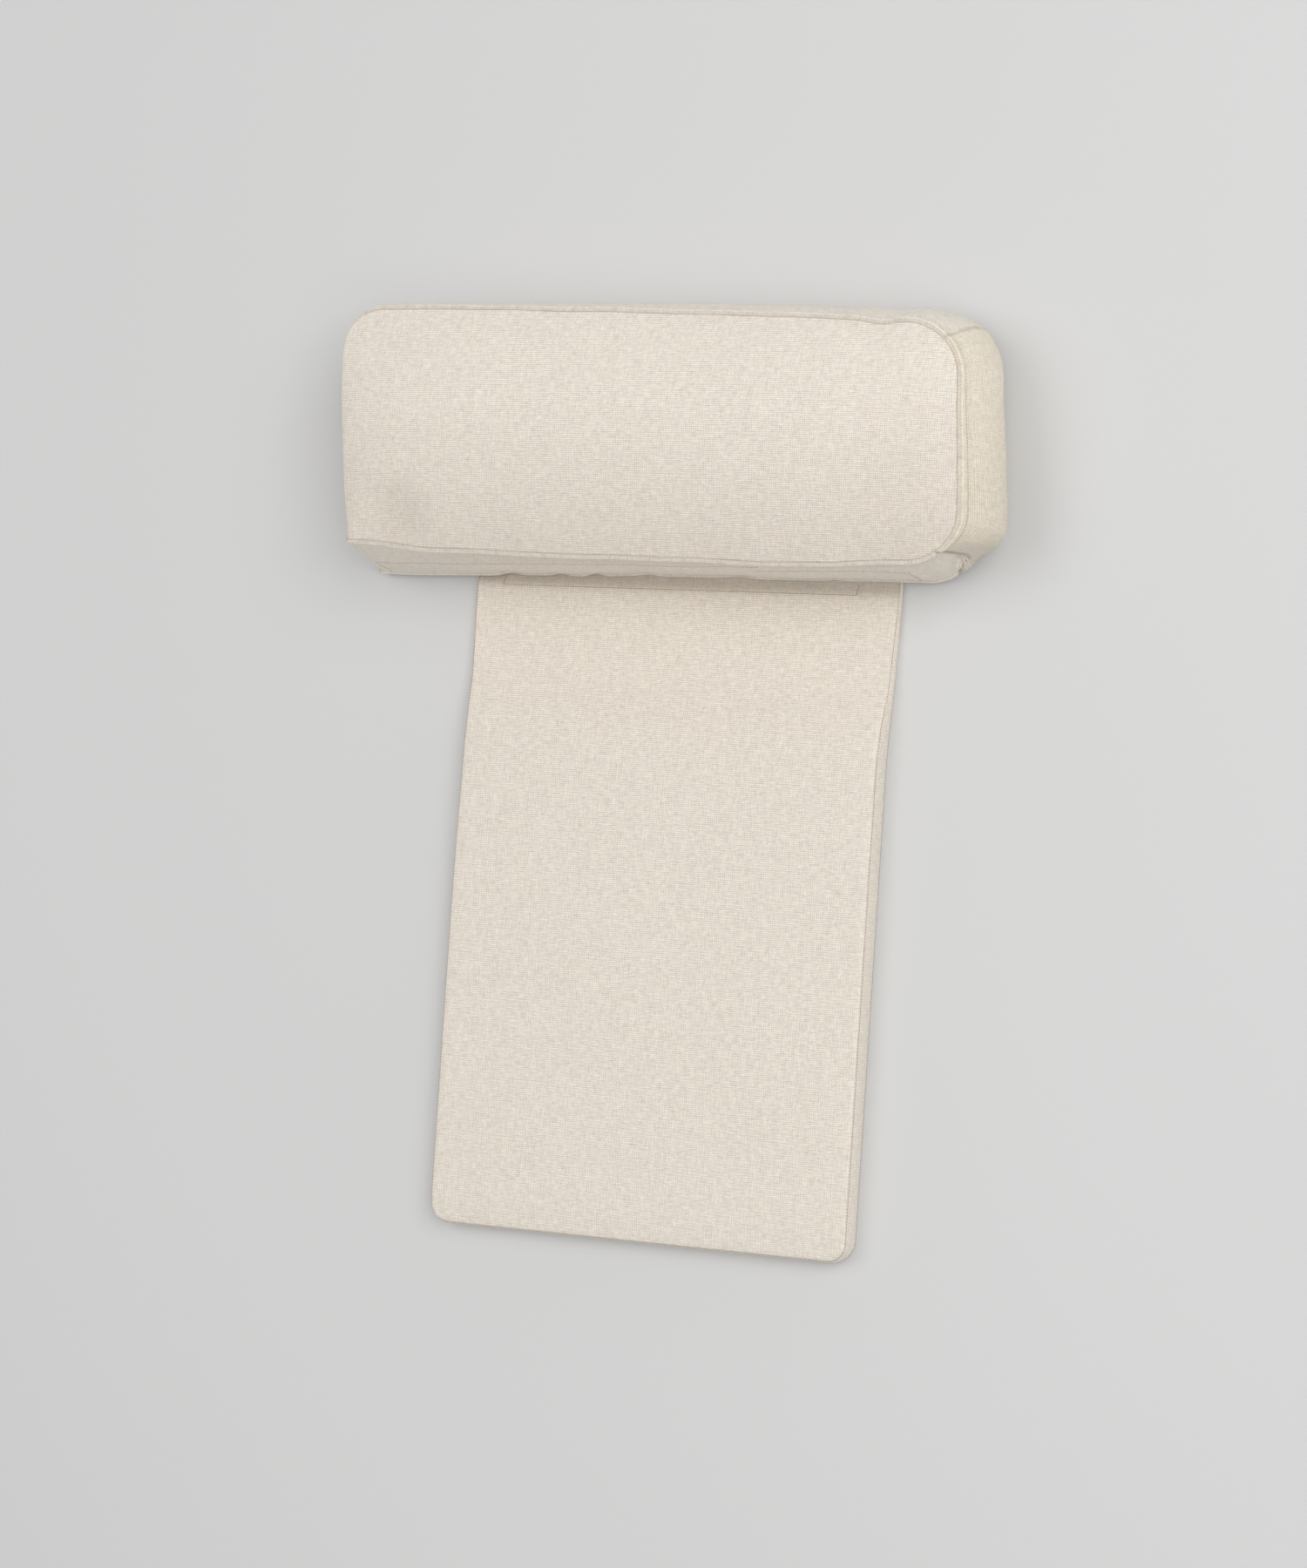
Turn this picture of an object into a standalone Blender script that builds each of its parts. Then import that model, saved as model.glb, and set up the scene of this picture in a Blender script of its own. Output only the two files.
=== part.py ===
"""Sofa headrest: a filled, boxed cushion on a long padded flap that tucks in behind the sofa's back cushion.

X runs along the cushion's width, Y from the flap's foot to the cushion's top, and Z out of the front.
The headrest lies on its back, so the surface under it is at Z = 0. All sizes are in metres.
"""

import math

import bmesh
import bpy

# Where the flap is stitched to the cushion. Heights along Y are measured from this line,
# and places along X from its middle, so that the whole piece is centred on X = 0, Y = 0.
JOIN_X = -0.0042
JOIN_Y = 0.1704

# Cushion: (x, height) of each panel's corners before they are rounded,
# in the order low left, low right, high right, high left.
FRONT_PANEL = ((-0.291, 0.025), (0.306, 0.024), (0.293, 0.229), (-0.309, 0.245))
BACK_PANEL = ((-0.307, 0.006), (0.303, 0.013), (0.301, 0.244), (-0.304, 0.239))
HALF_WIDTH = 0.300
HALF_HEIGHT = 0.107
CORNER_RADIUS = 0.046
CORNER_ROUNDING = {"low left": 0.15, "low right": 1.0, "high right": 1.0, "high left": 0.9}
FRONT_SEAM_Z = 0.115
BACK_SEAM_Z = 0.010
HIGH_SEAM_BOW = 0.003
LOW_FRONT_SEAM_SAG = 0.005
LOW_BACK_SEAM_LIFT = 0.003

# How far the filling pushes each face out beyond its seams.
CROWN = 0.030
END_BULGE_RIGHT = 0.026
END_BULGE_LEFT = 0.014
TOP_BULGE = 0.018
BOTTOM_BULGE = 0.008
CORNER_DRAW_IN = 0.6

# The lapped seam that runs round both panels as a low ridge on the boxing.
RIDGE_WIDTH = 0.007
RIDGE_HEIGHT = 0.0028

# The hollow in the cushion's back where the flap's top lies under it.
HOLLOW_Z = 0.0095
HOLLOW_TOP = 0.064
HOLLOW_END = 0.090
EDGE_LIFT = 0.030

# Flap: a gusseted cover, thick where the board is and thin where it is only cloth.
FLAP_LEFT = -0.2010
FLAP_RIGHT = 0.2115
FLAP_FOOT = -0.5975
FLAP_TOP = 0.052
FLAP_CORNER = 0.014
FLAP_CROWN = 0.0015
GUSSET_BULGE = 0.0015

# The flap from its foot to its top end: (height, thickness, extra width at the left and at the right).
FLAP_SECTIONS = (
    (-0.5975, 0.025, 0.0, 0.0),
    (-0.575, 0.028, 0.0, 0.0),
    (-0.150, 0.028, 0.0, 0.0),
    (-0.122, 0.025, 0.0, 0.001),
    (-0.085, 0.015, 0.001, 0.004),
    (-0.060, 0.012, 0.002, 0.005),
    (-0.010, 0.0091, 0.003, 0.008),
    (0.052, 0.0091, 0.003, 0.008),
)

CLOTH_COLOUR = (0.72, 0.65, 0.54, 1.0)


def sliced_box(cuts_x, cuts_y, cuts_z):
    """A box from -1 to 1 on each axis, cut through at the given places."""
    mesh = bmesh.new()
    bmesh.ops.create_cube(mesh, size=2.0)
    for axis, cuts in enumerate((cuts_x, cuts_y, cuts_z)):
        normal = [0.0, 0.0, 0.0]
        normal[axis] = 1.0
        for cut in cuts:
            everything = mesh.verts[:] + mesh.edges[:] + mesh.faces[:]
            place = [0.0, 0.0, 0.0]
            place[axis] = cut
            bmesh.ops.bisect_plane(mesh, geom=everything, plane_co=place, plane_no=normal)
    return mesh


def both_sides(cuts):
    """The same cuts on both sides of the middle."""
    return sorted({-cut for cut in cuts} | set(cuts))


def finished(mesh, name, collection, material):
    """Turn the caged mesh into a smooth, closed object with one material."""
    bmesh.ops.recalc_face_normals(mesh, faces=mesh.faces)
    data = bpy.data.meshes.new(name)
    mesh.to_mesh(data)
    mesh.free()
    data.materials.append(material)
    part = bpy.data.objects.new(name, data)
    collection.objects.link(part)
    smooth = part.modifiers.new("soft_edges", "SUBSURF")
    smooth.levels = 1
    smooth.render_levels = 1
    for face in data.polygons:
        face.use_smooth = True
    return part


def blend(low, high, amount):
    """Straight-line blend between two values."""
    return low + (high - low) * amount


def ease(low, high, value):
    """0 below low, 1 above high, and a soft S between them."""
    t = min(1.0, max(0.0, (value - low) / (high - low)))
    return t * t * (3.0 - 2.0 * t)


def corner_place(t, half, radius):
    """How far into the rounded corner a place lies: 0 at its start, 1 at the edge."""
    return max(0.0, (abs(t) * half - half + radius) / radius)


def panel_outline(u, v, half_x, half_y, radius, rounding):
    """Round a square panel's corners: 0 leaves a corner square and 1 makes it a quarter circle.

    Gives the place and the outward direction.
    """
    a = corner_place(u, half_x, radius)
    b = corner_place(v, half_y, radius)
    out_x = a * math.sqrt(1.0 - b * b / 2.0)
    out_y = b * math.sqrt(1.0 - a * a / 2.0)
    x = min(abs(u) * half_x, half_x - radius) + radius * blend(a, out_x, rounding)
    y = min(abs(v) * half_y, half_y - radius) + radius * blend(b, out_y, rounding)
    place = (math.copysign(x / half_x, u), math.copysign(y / half_y, v))
    outward = (math.copysign(out_x, u), math.copysign(out_y, v))
    return place, outward


def panel_point(corners, u, v):
    """The place on a panel that is u across and v up it."""
    (low_left, low_right, high_right, high_left) = corners
    across = (u + 1.0) / 2.0
    up = (v + 1.0) / 2.0
    low_x = blend(low_left[0], low_right[0], across)
    low_y = blend(low_left[1], low_right[1], across)
    high_x = blend(high_left[0], high_right[0], across)
    high_y = blend(high_left[1], high_right[1], across)
    return blend(low_x, high_x, up), blend(low_y, high_y, up)


def fullness(t, power):
    """A filled panel's profile: steep at its seams and nearly flat in the middle."""
    return math.sqrt(max(0.0, 1.0 - abs(t) ** power))


def boxing_bulge(u, v, w, outward):
    """How far the boxing stands out between the front seam and the back seam."""
    end = END_BULGE_RIGHT if u > 0.0 else END_BULGE_LEFT
    strip = TOP_BULGE if v > 0.0 else BOTTOM_BULGE
    size = end * outward[0] ** 2 + strip * outward[1] ** 2
    drawn_in = 1.0 - CORNER_DRAW_IN * 2.0 * abs(outward[0] * outward[1])
    along = u if abs(outward[1]) > abs(outward[0]) else v
    return size * drawn_in * (1.0 - w * w) * (0.7 + 0.3 * fullness(along, 4.0))


def back_height(u, v, y):
    """The cushion's back: flat on the surface, lifted at its edges and hollow over the flap's top."""
    from_edge = min((1.0 - abs(u)) * HALF_WIDTH, (1.0 - abs(v)) * HALF_HEIGHT)
    lifted = BACK_SEAM_Z * (1.0 - ease(0.0, EDGE_LIFT, from_edge))
    hollow = HOLLOW_Z * (1.0 - ease(HOLLOW_TOP, HOLLOW_END, y))
    return max(lifted, hollow)


def cushion_point(u, v, w):
    """Where a point of the box goes on the filled cushion."""
    corner = ("high " if v > 0.0 else "low ") + ("right" if u > 0.0 else "left")
    (pu, pv), outward = panel_outline(
        u, v, HALF_WIDTH, HALF_HEIGHT, CORNER_RADIUS, CORNER_ROUNDING[corner]
    )
    near_x, near_y = panel_point(FRONT_PANEL, pu, pv)
    far_x, far_y = panel_point(BACK_PANEL, pu, pv)
    forward = (w + 1.0) / 2.0
    x = blend(far_x, near_x, forward)
    y = blend(far_y, near_y, forward)
    z = blend(BACK_SEAM_Z, FRONT_SEAM_Z, forward)
    middle = 1.0 - u * u
    y += HIGH_SEAM_BOW * max(0.0, pv) * middle
    y += blend(LOW_BACK_SEAM_LIFT, -LOW_FRONT_SEAM_SAG, forward) * max(0.0, -pv) * middle
    if w == 1.0:
        z += CROWN * fullness(u, 5.0) * fullness(v, 2.6)
    elif w == -1.0:
        z = back_height(u, v, y)
    else:
        step_out = boxing_bulge(u, v, w, outward)
        if abs(abs(w) - RIDGE_TOP) < 0.001:
            step_out += RIDGE_HEIGHT
        x += outward[0] * step_out
        y += outward[1] * step_out
    return x + JOIN_X, y + JOIN_Y, z


def flap_section(y):
    """The flap's thickness and extra widths at a height, from the table."""
    for below, above in zip(FLAP_SECTIONS, FLAP_SECTIONS[1:]):
        if y <= above[0]:
            amount = (y - below[0]) / (above[0] - below[0])
            return [blend(low, high, amount) for low, high in zip(below[1:], above[1:])]
    return FLAP_SECTIONS[-1][1:]


def flap_point(u, v, w):
    """Where a point of the box goes on the flap."""
    half_x = (FLAP_RIGHT - FLAP_LEFT) / 2.0
    half_y = (FLAP_TOP - FLAP_FOOT) / 2.0
    (pu, pv), outward = panel_outline(u, v, half_x, half_y, FLAP_CORNER, 1.0)
    x = (FLAP_LEFT + FLAP_RIGHT) / 2.0 + half_x * pu
    y = (FLAP_FOOT + FLAP_TOP) / 2.0 + half_y * pv
    thickness, wider_left, wider_right = flap_section(y)
    x += pu * (wider_right if pu > 0.0 else wider_left)
    z = thickness * (w + 1.0) / 2.0
    if w == 1.0:
        z += FLAP_CROWN * fullness(u, 4.0) * fullness(v, 4.0) * (1.0 - ease(-0.150, -0.060, y))
    if abs(w) < 0.9:
        x += outward[0] * GUSSET_BULGE
        y += outward[1] * GUSSET_BULGE
    return x + JOIN_X, y + JOIN_Y, z


def shaped(mesh, place):
    """Move every point of the sliced box to its place on the piece."""
    for vertex in mesh.verts:
        u, v, w = (round(value, 6) for value in vertex.co)
        vertex.co = place(u, v, w)
    return mesh


for old in list(bpy.data.objects):
    bpy.data.objects.remove(old, do_unlink=True)

headrest = bpy.data.collections.new("headrest_cushion_part")
bpy.context.scene.collection.children.link(headrest)

cloth = bpy.data.materials.new("linen_cloth")
cloth.use_nodes = True
surface = cloth.node_tree.nodes["Principled BSDF"]
surface.inputs["Base Color"].default_value = CLOTH_COLOUR
surface.inputs["Roughness"].default_value = 0.9

# Cushion: cuts across, up and through the box. The last two through-cuts make the seam's ridge.
seam_depth = (FRONT_SEAM_Z - BACK_SEAM_Z) / 2.0
RIDGE_TOP = 1.0 - 0.5 * RIDGE_WIDTH / seam_depth
ridge_end = 1.0 - 1.15 * RIDGE_WIDTH / seam_depth
corner_x = 1.0 - CORNER_RADIUS / HALF_WIDTH
corner_y = 1.0 - CORNER_RADIUS / HALF_HEIGHT
cushion_box = sliced_box(
    both_sides((0.0, 0.24, 0.48, 0.70, corner_x, 0.93, 0.98)),
    both_sides((0.0, 0.33, corner_y, 0.80, 0.94)) + [-0.5],
    both_sides((0.35, ridge_end, RIDGE_TOP)),
)
finished(shaped(cushion_box, cushion_point), "headrest_cushion", headrest, cloth)

# Flap: cuts up the box follow the section table, so each change of thickness has an edge loop.
flap_middle = (FLAP_FOOT + FLAP_TOP) / 2.0
flap_half = (FLAP_TOP - FLAP_FOOT) / 2.0
steps = [(section[0] - flap_middle) / flap_half for section in FLAP_SECTIONS[1:-1]]
side = 1.0 - FLAP_CORNER / (0.5 * (FLAP_RIGHT - FLAP_LEFT))
flap_box = sliced_box(
    both_sides((0.0, 0.5, side, 0.985)),
    steps + [-0.45, -0.1, 0.97, -0.985, -0.957],
    both_sides((0.55,)),
)
finished(shaped(flap_box, flap_point), "insert_flap", headrest, cloth)
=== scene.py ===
import math
import random

import bpy
from mathutils import Matrix, Vector, noise
from mathutils.bvhtree import BVHTree


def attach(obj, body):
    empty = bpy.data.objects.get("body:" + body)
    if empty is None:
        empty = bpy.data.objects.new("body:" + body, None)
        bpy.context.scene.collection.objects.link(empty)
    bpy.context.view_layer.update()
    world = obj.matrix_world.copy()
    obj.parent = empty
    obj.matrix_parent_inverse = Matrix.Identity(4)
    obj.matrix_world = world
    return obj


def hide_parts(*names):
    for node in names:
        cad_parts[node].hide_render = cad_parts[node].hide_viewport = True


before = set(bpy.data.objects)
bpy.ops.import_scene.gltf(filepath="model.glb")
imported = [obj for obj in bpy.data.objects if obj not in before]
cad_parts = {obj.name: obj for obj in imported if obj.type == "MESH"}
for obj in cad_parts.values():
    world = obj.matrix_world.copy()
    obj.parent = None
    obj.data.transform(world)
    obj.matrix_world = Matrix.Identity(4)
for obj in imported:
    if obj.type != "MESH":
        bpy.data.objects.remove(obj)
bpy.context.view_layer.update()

# ---------------------------------------------------------------------------------------
# Studio. The headrest lies on its back on a pale painted floor, between white walls and
# under three soft boxes, and the camera looks down on its face from the right.
# ---------------------------------------------------------------------------------------
CAMERA_ANGLES = (23.46, -1.75, 3.80)
CAMERA_DISTANCE = 3.535
LENS = 88.0
FLOOR_SIZE = 16.0
FLOOR_HEIGHT = -0.0004
FLOOR_COLOUR = (0.68, 0.68, 0.677, 1.0)
WALL_GLOW = 1.10
CEILING_GLOW = 0.40
CEILING_STARTS = 0.45

scene = bpy.context.scene
scene.view_settings.view_transform = "Standard"
bpy.ops.object.select_all(action="DESELECT")

azimuth, elevation, roll = (math.radians(angle) for angle in CAMERA_ANGLES)
aim = Vector((-0.0190, -0.0090, 0.0))
towards = Vector((
    math.sin(azimuth) * math.cos(elevation),
    math.sin(elevation),
    math.cos(azimuth) * math.cos(elevation),
))
level = (-towards).cross(Vector((0.0, 1.0, 0.0))).normalized()
upright = level.cross(-towards)
across = level * math.cos(roll) + upright * math.sin(roll)
up = upright * math.cos(roll) - level * math.sin(roll)
bpy.ops.object.camera_add(location=aim + towards * CAMERA_DISTANCE)
camera = bpy.context.object
camera.name = "camera"
camera.rotation_euler = Matrix((across, up, towards)).transposed().to_euler()
camera.data.sensor_width = 36.0
camera.data.lens = LENS
camera.data.clip_end = 50.0
scene.camera = camera

bpy.ops.object.select_all(action="DESELECT")
bpy.ops.mesh.primitive_plane_add(size=FLOOR_SIZE, location=(0.0, 0.0, FLOOR_HEIGHT))
floor = bpy.context.object
floor.name = "floor"
bpy.ops.object.transform_apply(location=True)
paint = bpy.data.materials.new("floor_paint")
paint.use_nodes = True
matt = paint.node_tree.nodes["Principled BSDF"]
matt.inputs["Base Color"].default_value = FLOOR_COLOUR
matt.inputs["Roughness"].default_value = 0.9
matt.inputs["Specular IOR Level"].default_value = 0.0
floor.data.materials.append(paint)

# White walls all round: brightest low down, where they stand, and dimmer straight above.
room = bpy.data.worlds.new("studio_air")
room.use_nodes = True
air = room.node_tree
background = air.nodes["Background"]
background.inputs["Color"].default_value = (1.0, 1.0, 1.0, 1.0)
walls = air.nodes.new("ShaderNodeTexCoord")
heights = air.nodes.new("ShaderNodeSeparateXYZ")
glow = air.nodes.new("ShaderNodeMapRange")
glow.inputs["To Min"].default_value = WALL_GLOW
glow.inputs["To Max"].default_value = CEILING_GLOW
glow.inputs["From Max"].default_value = CEILING_STARTS
air.links.new(walls.outputs["Generated"], heights.inputs[0])
air.links.new(heights.outputs["Z"], glow.inputs["Value"])
air.links.new(glow.outputs["Result"], background.inputs["Strength"])
scene.world = room


def soft_light(name, place, size, power):
    """A square soft box that faces the headrest's middle."""
    bpy.ops.object.light_add(type="AREA", location=place)
    lamp = bpy.context.object
    lamp.name = name
    lamp.rotation_euler = (-Vector(place)).to_track_quat("-Z", "Y").to_euler()
    lamp.data.shape = "SQUARE"
    lamp.data.size = size
    lamp.data.energy = power


soft_light("soft_box_right", (2.6, 1.2, 3.4), 2.6, 57.0)
soft_light("soft_box_front", (2.2, -0.4, 3.9), 2.6, 38.0)
soft_light("soft_box_left", (-1.4, 0.6, 4.2), 2.6, 45.0)

# ---------------------------------------------------------------------------------------
# Linen-look cloth. A plain weave of thick and thin yarns in beige, with some pinkish and
# some greyish ones, matt and a little hairy. The cover and the flap are cut from it.
# ---------------------------------------------------------------------------------------


class Number:
    """A number in a shader, on which plain arithmetic adds the Math nodes."""

    def __init__(self, shader, socket):
        self.shader, self.socket = shader, socket

    def math(self, operation, *others):
        return self.shader.node("ShaderNodeMath", {"operation": operation}, (self, *others))

    def __add__(self, other):
        return self.math("ADD", other)

    def __sub__(self, other):
        return self.math("SUBTRACT", other)

    def __rsub__(self, other):
        return self.shader.node("ShaderNodeMath", {"operation": "SUBTRACT"}, (other, self))

    def __mul__(self, other):
        return self.math("MULTIPLY", other)

    __radd__ = __add__
    __rmul__ = __mul__


class Finish:
    """A material that is built up from nodes."""

    def __init__(self, name):
        self.material = bpy.data.materials.new(name)
        self.material.use_nodes = True
        self.tree = self.material.node_tree
        self.surface = self.tree.nodes["Principled BSDF"]

    def node(self, kind, settings=None, sockets=(), output=0):
        """Add a node, with its settings first and then the values or links of its sockets."""
        made = self.tree.nodes.new(kind)
        for name, value in (settings or {}).items():
            setattr(made, name, value)
        for key, value in sockets.items() if isinstance(sockets, dict) else enumerate(sockets):
            self.set(made.inputs[key], value)
        return Number(self, made.outputs[output])

    def set(self, socket, value):
        if isinstance(value, Number):
            self.tree.links.new(value.socket, socket)
        else:
            socket.default_value = value


YARN = 0.0019
CLOTH = (0.765, 0.702, 0.616, 1.0)
CLOTH_WARM = (0.765, 0.695, 0.568, 1.0)
YARN_PINK = (0.815, 0.680, 0.580, 1.0)
YARN_GREY = (0.690, 0.695, 0.690, 1.0)
# The colour that painted shade mixes the cloth towards.
PAINTED_SHADE_COLOUR = (0.300, 0.235, 0.175, 1.0)
# How many times a metre a yarn changes in thickness and in colour along its length, and how
# many changes a yarn's own width spans.
SLUBS_PER_METRE = 125.0
HUES_PER_METRE = 60.0
CHANGES_ACROSS = 1.1
# The share by which each makes the cloth lighter or darker.
WARP_UNEVEN = 0.12
WEFT_UNEVEN = 0.26
YARN_UNEVEN = 0.45
YARN_TOPS = 0.16
YARN_GAPS = 0.090
BLOTCHES = 0.02
YARN_RELIEF = 0.00035


def linen(name):
    """The cloth, woven along the piece's own map, so each panel's yarns run its own way."""
    cloth = Finish(name)
    spot = cloth.node("ShaderNodeUVMap", {"uv_map": "grain"})
    parts = cloth.node("ShaderNodeSeparateXYZ", sockets=(spot,))
    weft_way = parts
    warp_way = Number(cloth, parts.socket.node.outputs[1])
    column = weft_way * (1.0 / YARN)
    row = warp_way * (1.0 / YARN)
    in_column = column.math("FRACT") - 0.5
    in_row = row.math("FRACT") - 0.5
    odd = (column.math("FLOOR") + row.math("FLOOR")).math("PINGPONG", 1.0)
    over = 1.0 - 2.0 * odd
    warp_crest = over * (in_row * math.pi).math("COSINE") - in_column * in_column * 2.4
    weft_crest = 0.0 - over * (in_column * math.pi).math("COSINE") - in_row * in_row * 2.4
    crest = warp_crest.math("MAXIMUM", weft_crest)
    warp_shown = warp_crest.math("GREATER_THAN", weft_crest)

    def streaks(along_x, along_y, seed):
        """Uneven yarns: noise that is one yarn wide and many yarns long."""
        stretched = cloth.node(
            "ShaderNodeCombineXYZ", sockets=(weft_way * along_x, warp_way * along_y, seed)
        )
        return cloth.node(
            "ShaderNodeTexNoise",
            {"noise_dimensions": "3D"},
            {"Vector": stretched, "Scale": 1.0, "Detail": 2.0, "Roughness": 0.6},
        )

    per_yarn = CHANGES_ACROSS / YARN
    warp_slub = streaks(per_yarn, SLUBS_PER_METRE, 3.7)
    weft_slub = streaks(SLUBS_PER_METRE, per_yarn, 8.1)
    warp_hue = streaks(per_yarn, HUES_PER_METRE, 15.3)
    weft_hue = streaks(HUES_PER_METRE, per_yarn, 21.9)
    slub = warp_slub * warp_shown + weft_slub * (1.0 - warp_shown)
    both_slubs = warp_slub + weft_slub - 1.0
    blotch = cloth.node(
        "ShaderNodeTexNoise", sockets={"Vector": spot, "Scale": 28.0, "Detail": 3.0}
    )

    def layered(factor, low, high):
        """Mix two colours by a mask."""
        return cloth.node(
            "ShaderNodeMix", {"data_type": "RGBA"}, {0: factor, 6: low, 7: high}, output=2
        )

    def ramp(value, low, high, amount):
        """0 below low, up to amount above high."""
        return cloth.node(
            "ShaderNodeMapRange",
            {"interpolation_type": "SMOOTHSTEP"},
            {0: value, 1: low, 2: high, 3: 0.0, 4: amount},
        )

    warmth = cloth.node("ShaderNodeAttribute", {"attribute_name": "warmth"}, output=2)
    # The "seam" attribute is painted shade: a share of the shade colour put in the seams, under the
    # cushion's edge and wherever the cloth is made to look less lit.
    painted_shade = cloth.node("ShaderNodeAttribute", {"attribute_name": "seam"}, output=2)
    colour = layered(warmth, CLOTH, CLOTH_WARM)
    colour = layered(ramp(warp_hue, 0.50, 0.72, 0.34), colour, YARN_PINK)
    colour = layered(ramp(weft_hue, 0.50, 0.72, 0.32), colour, YARN_GREY)
    between_yarns = in_column * in_column * 2.8 + in_row * in_row * 5.2 - 0.67
    shade = (
        1.0 + (warp_slub - 0.5) * WARP_UNEVEN + (weft_slub - 0.5) * WEFT_UNEVEN
        + (slub - 0.5) * YARN_UNEVEN + (crest - 0.35) * YARN_TOPS
        - between_yarns * YARN_GAPS + (blotch - 0.5) * BLOTCHES
    )
    shaded = cloth.node(
        "ShaderNodeVectorMath", {"operation": "SCALE"}, {0: colour, 3: shade}
    )
    colour = layered(painted_shade, shaded, PAINTED_SHADE_COLOUR)
    cloth.set(cloth.surface.inputs["Base Color"], colour)
    cloth.set(cloth.surface.inputs["Roughness"], 0.94 - slub * 0.08)
    cloth.surface.inputs["Specular IOR Level"].default_value = 0.15
    cloth.surface.inputs["Sheen Weight"].default_value = 0.12
    cloth.surface.inputs["Sheen Roughness"].default_value = 0.6
    relief = crest * 0.6 + both_slubs * 0.8
    bump = cloth.node(
        "ShaderNodeBump",
        sockets={"Strength": 0.55, "Distance": YARN_RELIEF, "Height": relief},
    )
    cloth.set(cloth.surface.inputs["Normal"], bump)
    return cloth.material


linen_cloth = linen("linen_cloth")

# ---------------------------------------------------------------------------------------
# Cushion. A boxed cover of front panel, back panel and four boxing strips, sewn with the
# seam allowance lapped onto the boxing and topstitched, and filled until the front crowns.
# ---------------------------------------------------------------------------------------
# The middle of the seam where the flap is sewn on: the panels' and the flap's places are
# measured from there, and those of dents, puckers and stitches from the part's own middle.
JOIN_X = -0.0042
JOIN_Y = 0.1704
FRONT_PANEL = ((-0.291, 0.025), (0.306, 0.024), (0.293, 0.229), (-0.3115, 0.2430))
BACK_PANEL = ((-0.308, 0.007), (0.292, 0.0145), (0.301, 0.244), (-0.304, 0.239))
HALF_WIDTH = 0.300
HALF_HEIGHT = 0.107
CORNER_RADIUS = 0.046
CORNER_ROUNDING = {"low left": 0.08, "low right": 1.0, "high right": 1.0, "high left": 1.0}
FRONT_SEAM_Z = 0.115
BACK_SEAM_Z = 0.010
BOXING_DEPTH = FRONT_SEAM_Z - BACK_SEAM_Z
# The crown of the front panel, which falls away sooner below its middle than above.
CROWN = 0.0265
CROWN_ACROSS = 6.0
CROWN_HIGH = 2.5
CROWN_LOW = 2.1
CROWN_LEAN = 0.85
END_BULGE_RIGHT = 0.0175
END_BULGE_LEFT = 0.012
# The right end is slack and fullest low down: (place up the end, how much more it stands out).
END_SLACK_RIGHT = (
    (-1.0, 0.0), (-0.88, 0.009), (-0.70, 0.0155), (-0.45, 0.0145),
    (0.0, 0.0095), (0.4, 0.002), (0.7, -0.001), (1.0, 0.0),
)
TOP_BULGE = 0.0135
BOTTOM_BULGE = 0.004
# At each corner: the share of the end's and of the strip's bulge that is left at the corner seam,
# how fast they come back to full beside it, and how much of the corner the end boxing takes.
CORNERS = {
    "low left": (0.05, 0.05, 1.5, 0.50),
    "low right": (0.85, 0.05, 3.0, 0.72),
    "high right": (0.70, 0.90, 1.5, 0.50),
    "high left": (0.40, 0.40, 1.5, 0.50),
}
# How far the end boxing's low right corner stands out past its seam, and is pulled up there.
LOW_RIGHT_LIP = (0.003, 0.0080)
LOW_RIGHT_TUCK = 0.006
# The long seams aren't straight: how far they bow up or sag, with one pucker and one lift.
TOP_BOW = 0.003
TOP_PUCKER = (0.0025, 0.222, 0.022)
LOW_SAG = 0.005
LOW_SAG_RIGHT = (0.003, 0.150, 0.100)
LOW_BACK_RISE = 0.003
LOW_LIFT_LEFT = (0.0026, -0.262, 0.055)
# The left seam is drawn in between its corners, and the front panel swells past it.
LEFT_DRAWN_IN = 0.006
LEFT_OVERHANG = 0.0072
# The back lies on the surface, but for the hollow that the flap takes up.
BACK_ROUNDING = 0.030
HOLLOW_HEIGHT = 0.0095
HOLLOW_EDGE = (0.064, 0.090)

# Steps in from each seam, in metres: close together where the seam's section needs them.
STEPS_IN = (0.0028, 0.0068, 0.0128, 0.0215, 0.0350, 0.0540)
FEWER_STEPS_IN = STEPS_IN[:5]


def make_active(piece):
    """Select one piece alone, for the operators that follow."""
    bpy.ops.object.select_all(action="DESELECT")
    piece.select_set(True)
    bpy.context.view_layer.objects.active = piece


def start_box(name, cuts, levels):
    """A cube from -1 to 1, cut through at the given places and divided evenly between them."""
    bpy.ops.object.select_all(action="DESELECT")
    bpy.ops.mesh.primitive_cube_add(size=2.0)
    box = bpy.context.object
    box.name = name
    bpy.ops.object.mode_set(mode="EDIT")
    for axis, places in enumerate(cuts):
        for place in places:
            point = [0.0, 0.0, 0.0]
            normal = [0.0, 0.0, 0.0]
            point[axis] = place
            normal[axis] = 1.0
            bpy.ops.mesh.select_all(action="SELECT")
            bpy.ops.mesh.bisect(plane_co=point, plane_no=normal)
    bpy.ops.object.mode_set(mode="OBJECT")
    divide = box.modifiers.new("divide", "SUBSURF")
    divide.subdivision_type = "SIMPLE"
    divide.levels = divide.render_levels = levels
    bpy.ops.object.modifier_apply(modifier="divide")
    return box


def cuts_along(half, steps_in, spacing):
    """Places from -1 to 1 for cuts at the steps in from both ends, and evenly between."""
    inner = half - steps_in[-1]
    count = max(1, round(inner / spacing))
    metres = [half - step for step in steps_in] + [inner * i / count for i in range(count)]
    return sorted({round(sign * m / half, 6) for m in metres for sign in (1, -1)})


def blend(low, high, amount):
    """Straight-line blend between two values."""
    return low + (high - low) * amount


def ease(low, high, value):
    """0 below low, 1 above high, and a soft S between them."""
    t = min(1.0, max(0.0, (value - low) / (high - low)))
    return t * t * (3.0 - 2.0 * t)


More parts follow.
